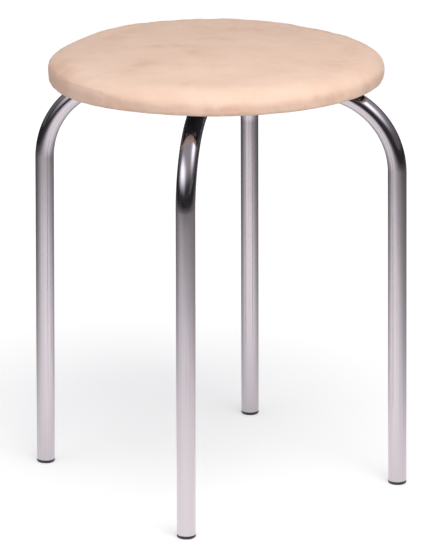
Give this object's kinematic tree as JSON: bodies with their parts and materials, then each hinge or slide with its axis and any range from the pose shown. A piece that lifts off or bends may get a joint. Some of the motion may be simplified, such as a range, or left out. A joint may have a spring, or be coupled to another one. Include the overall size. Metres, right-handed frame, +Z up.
{
  "type": "four-legged stool",
  "caption": "Round padded stool at chair height, on four bent chromed tube legs with black foot plugs.",
  "frame": {"origin": "on the floor, at the stool's centre line", "axes": "+Z up, +X to the right-hand leg, -Y to the front leg"},
  "size_m": [0.391, 0.391, 0.45],
  "materials": {
    "chrome": "polished chrome plate",
    "suede": "suede-like cloth with a short nap, light beige",
    "foam": "open-cell foam",
    "plywood": "bare plywood",
    "dust_cloth": "black non-woven cloth",
    "black_plastic": "moulded, slightly worn",
    "zinc_steel": "zinc plated"
  },
  "bodies": {
    "root": {"seat_cover": "suede", "foam_pad": "foam", "seat_board": "plywood", "dust_cover": "dust_cloth", "lower_leg_hoop": "chrome", "upper_leg_hoop": "chrome", "weld_bead_right": "chrome", "weld_bead_left": "chrome", "weld_bead_back": "chrome", "weld_bead_front": "chrome", "foot_plug_right": "black_plastic", "foot_plug_back": "black_plastic", "foot_plug_left": "black_plastic", "foot_plug_front": "black_plastic", "saddle_washer_right": "black_plastic", "saddle_washer_back": "black_plastic", "saddle_washer_left": "black_plastic", "saddle_washer_front": "black_plastic", "seat_screw_right": "zinc_steel", "seat_screw_back": "zinc_steel", "seat_screw_left": "zinc_steel", "seat_screw_front": "zinc_steel", "tee_nut_right": "zinc_steel", "tee_nut_back": "zinc_steel", "tee_nut_left": "zinc_steel", "tee_nut_front": "zinc_steel"}
  },
  "joints": []
}
